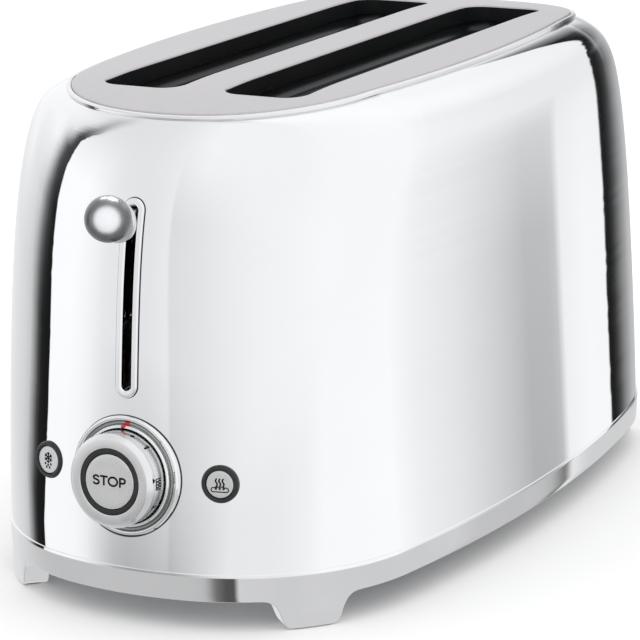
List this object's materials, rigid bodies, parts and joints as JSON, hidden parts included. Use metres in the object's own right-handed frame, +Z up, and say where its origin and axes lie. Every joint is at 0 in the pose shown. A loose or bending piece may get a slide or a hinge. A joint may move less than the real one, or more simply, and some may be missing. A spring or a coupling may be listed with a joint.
{
  "type": "toaster",
  "caption": "Long retro toaster: rounded chrome body, brushed top plate with wide bread slots, ball lever, browning dial and buttons on one end, removable crumb tray.",
  "frame": {"origin": "middle of the footprint, in the plane of the undersides of the feet", "axes": "+X along the slots from the control end to the crumb tray end, +Y to the side away from the picture's viewer, +Z up"},
  "size_m": [0.4012, 0.206, 0.2086],
  "materials": {
    "body_chrome": "polished chrome plate on pressed steel",
    "trim_chrome": "polished chrome plate",
    "plate_steel": "brushed along the length",
    "base_grey": "satin silver-grey paint",
    "foot_rubber": "matt",
    "sheet_zinc": "zinc-coated sheet",
    "liner_dark": "heat-blackened sheet",
    "mica": "mica board",
    "ribbon": "oxidised resistance ribbon",
    "wire_bright": "nickel-plated wire and strip",
    "bush_brass": "turned brass",
    "spring_steel": "spring wire",
    "magnet_iron": "stacked iron sheet",
    "coil_copper": "enamelled copper wire",
    "knob_silver": "satin silver moulding with black figures",
    "dark_ring": "dark moulding",
    "button_light": "light satin cap with a black mark",
    "index_red": "red inlay",
    "circuit_green": "circuit board",
    "part_black": "black moulding",
    "insulator_cream": "heat-proof moulding",
    "shaft_steel": "drawn steel"
  },
  "bodies": {
    "housing": {"shell_front_end": "body_chrome", "shell_rear_end": "body_chrome", "shell_side_left": "body_chrome", "shell_side_right": "body_chrome", "base_skirt": "base_grey", "foot_pads": "foot_rubber", "floor_plate": "sheet_zinc", "floor_cover": "part_black", "cord_wrap": "part_black", "screws": "shaft_steel", "top_plate": "plate_steel", "top_rim": "trim_chrome", "slot_liners": "liner_dark", "chassis_front": "sheet_zinc", "chassis_rear": "sheet_zinc", "reflector_left": "sheet_zinc", "reflector_right": "sheet_zinc", "chamber_deck": "liner_dark", "heater_boards": "mica", "heater_ribbons": "ribbon", "guide_rods": "shaft_steel", "rod_brackets": "sheet_zinc", "return_spring": "spring_steel", "lever_slot_trim": "trim_chrome", "magnet_core": "magnet_iron", "magnet_coils": "coil_copper", "magnet_bracket": "sheet_zinc", "dial_bezel": "trim_chrome", "dial_mark": "index_red", "potentiometer": "part_black", "control_board": "circuit_green", "board_components": "part_black", "button_switches": "part_black", "defrost_ring": "dark_ring", "reheat_ring": "dark_ring", "power_board": "circuit_green", "power_components": "part_black", "board_brackets": "sheet_zinc", "terminal_block": "insulator_cream", "cord_inlet": "part_black"},
    "carriage": {"carriage_plate": "sheet_zinc", "carriage_bushes": "bush_brass", "bread_rack_left": "wire_bright", "bread_rack_right": "wire_bright", "lever_arm": "shaft_steel", "lever_knob": "trim_chrome", "lever_collar": "knob_silver", "keeper": "magnet_iron"},
    "guide_outer_left": {"bread_guide_outer_left": "wire_bright"},
    "guide_inner_left": {"bread_guide_inner_left": "wire_bright"},
    "guide_inner_right": {"bread_guide_inner_right": "wire_bright"},
    "guide_outer_right": {"bread_guide_outer_right": "wire_bright"},
    "dial": {"dial_knob": "knob_silver", "stop_ring": "dark_ring", "dial_shaft": "shaft_steel"},
    "stop": {"stop_button": "button_light"},
    "defrost": {"defrost_button": "button_light"},
    "reheat": {"reheat_button": "button_light"},
    "tray": {"crumb_tray": "sheet_zinc", "crumb_tray_handle": "base_grey"}
  },
  "joints": [
    {"name": "lever_slide", "type": "slide", "parent": "housing", "child": "carriage", "axis": [0, 0, -1], "range_m": [0, 0.064], "stiffness_N_per_m": 60, "springref_m": -0.12, "deforming": ["return_spring"]},
    {"name": "guide_outer_left_slide", "type": "slide", "parent": "housing", "child": "guide_outer_left", "axis": [0, -1, 0], "range_m": [0, 0.009]},
    {"name": "guide_inner_left_slide", "type": "slide", "parent": "housing", "child": "guide_inner_left", "axis": [0, 1, 0], "range_m": [0, 0.007]},
    {"name": "guide_inner_right_slide", "type": "slide", "parent": "housing", "child": "guide_inner_right", "axis": [0, -1, 0], "range_m": [0, 0.007]},
    {"name": "guide_outer_right_slide", "type": "slide", "parent": "housing", "child": "guide_outer_right", "axis": [0, 1, 0], "range_m": [0, 0.009]},
    {"name": "dial_turn", "type": "hinge", "parent": "housing", "child": "dial", "pos_m": [-0.18281, 0, 0.0617], "axis": [-0.9974, 0, 0.0725], "range_deg": [0, 290]},
    {"name": "stop_press", "type": "slide", "parent": "housing", "child": "stop", "axis": [0.9974, 0, -0.0725], "range_m": [0, 0.0011], "stiffness_N_per_m": 600, "springref_m": -0.0015},
    {"name": "defrost_press", "type": "slide", "parent": "housing", "child": "defrost", "axis": [0.9671, -0.2439, -0.0725], "range_m": [0, 0.0012], "stiffness_N_per_m": 600, "springref_m": -0.0015},
    {"name": "reheat_press", "type": "slide", "parent": "housing", "child": "reheat", "axis": [0.9671, 0.2439, -0.0725], "range_m": [0, 0.0012], "stiffness_N_per_m": 600, "springref_m": -0.0015},
    {"name": "crumb_tray_slide", "type": "slide", "parent": "housing", "child": "tray", "axis": [1, 0, 0], "range_m": [0, 0.3]}
  ],
  "couplings": [
    {"joint": "guide_outer_left_slide", "follows": "lever_slide", "ratio": 0.14062},
    {"joint": "guide_inner_left_slide", "follows": "lever_slide", "ratio": 0.10938},
    {"joint": "guide_inner_right_slide", "follows": "lever_slide", "ratio": 0.10938},
    {"joint": "guide_outer_right_slide", "follows": "lever_slide", "ratio": 0.14062}
  ]
}
